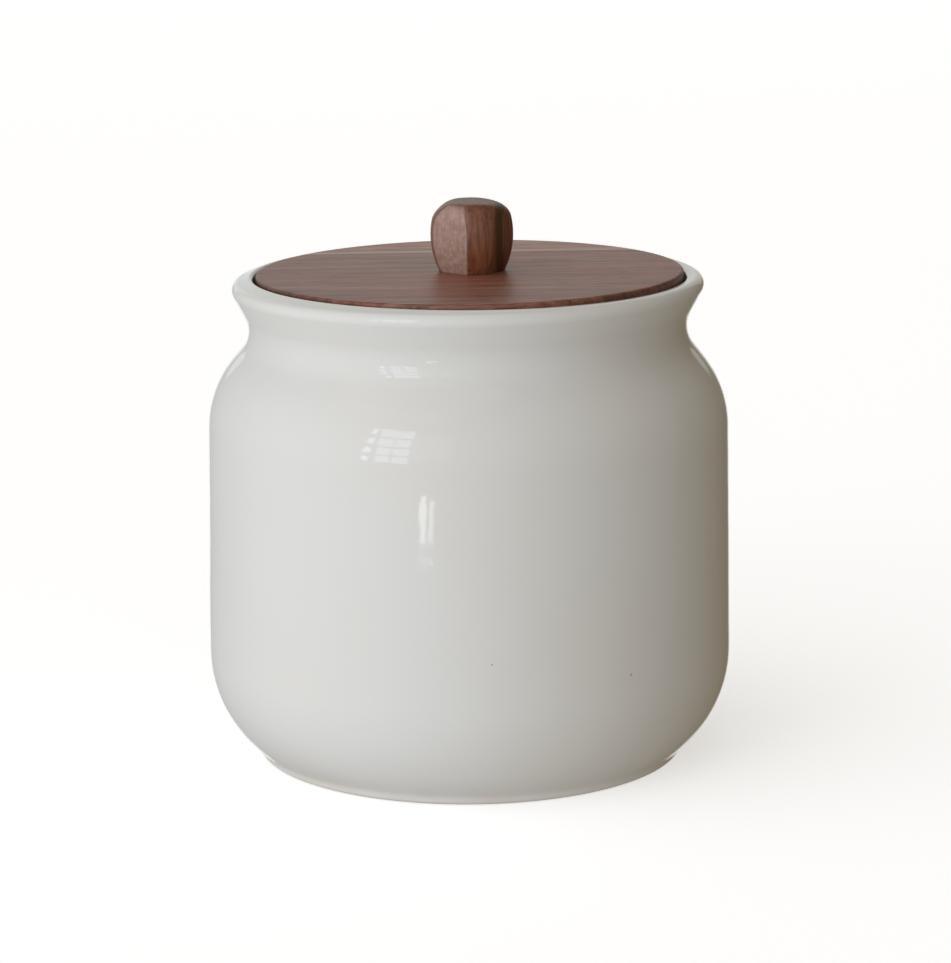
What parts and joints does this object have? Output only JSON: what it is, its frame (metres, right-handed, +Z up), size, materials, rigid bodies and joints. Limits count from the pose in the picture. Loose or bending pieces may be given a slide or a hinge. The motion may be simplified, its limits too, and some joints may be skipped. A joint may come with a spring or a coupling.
{
  "type": "lidded sugar bowl",
  "caption": "Round glazed stoneware sugar bowl with a flared rim and a drop-in walnut lid that lifts off by a small whittled knob.",
  "frame": {"origin": "centre of the foot ring, on the surface the bowl stands on", "axes": "+Z up along the pot's axis; the lid lies level and its wood grain runs along X; -Y is the front, the side away from the lid's narrow back board"},
  "size_m": [0.105, 0.105, 0.111],
  "materials": {
    "glaze": "gloss off-white glaze over pale stoneware",
    "walnut_back_board": "oiled walnut, satin",
    "walnut_front_board": "oiled walnut, satin",
    "silicone": "matte translucent white silicone",
    "walnut_knob": "oiled walnut, satin",
    "steel": "zinc-plated screw"
  },
  "bodies": {
    "pot": {"pot": "glaze"},
    "seal": {"seal_ring": "silicone"},
    "lid": {"lid_front_board": "walnut_front_board", "lid_back_board": "walnut_back_board", "knob": "walnut_knob", "knob_screw": "steel"}
  },
  "joints": [
    {"name": "lid_lift", "type": "slide", "parent": "pot", "child": "seal", "axis": [0, 0, 1], "range_m": [0, 0.06]},
    {"name": "lid_turn", "type": "hinge", "parent": "seal", "child": "lid", "pos_m": [0, 0, 0.0922], "axis": [0, 0, 1], "continuous": true}
  ]
}
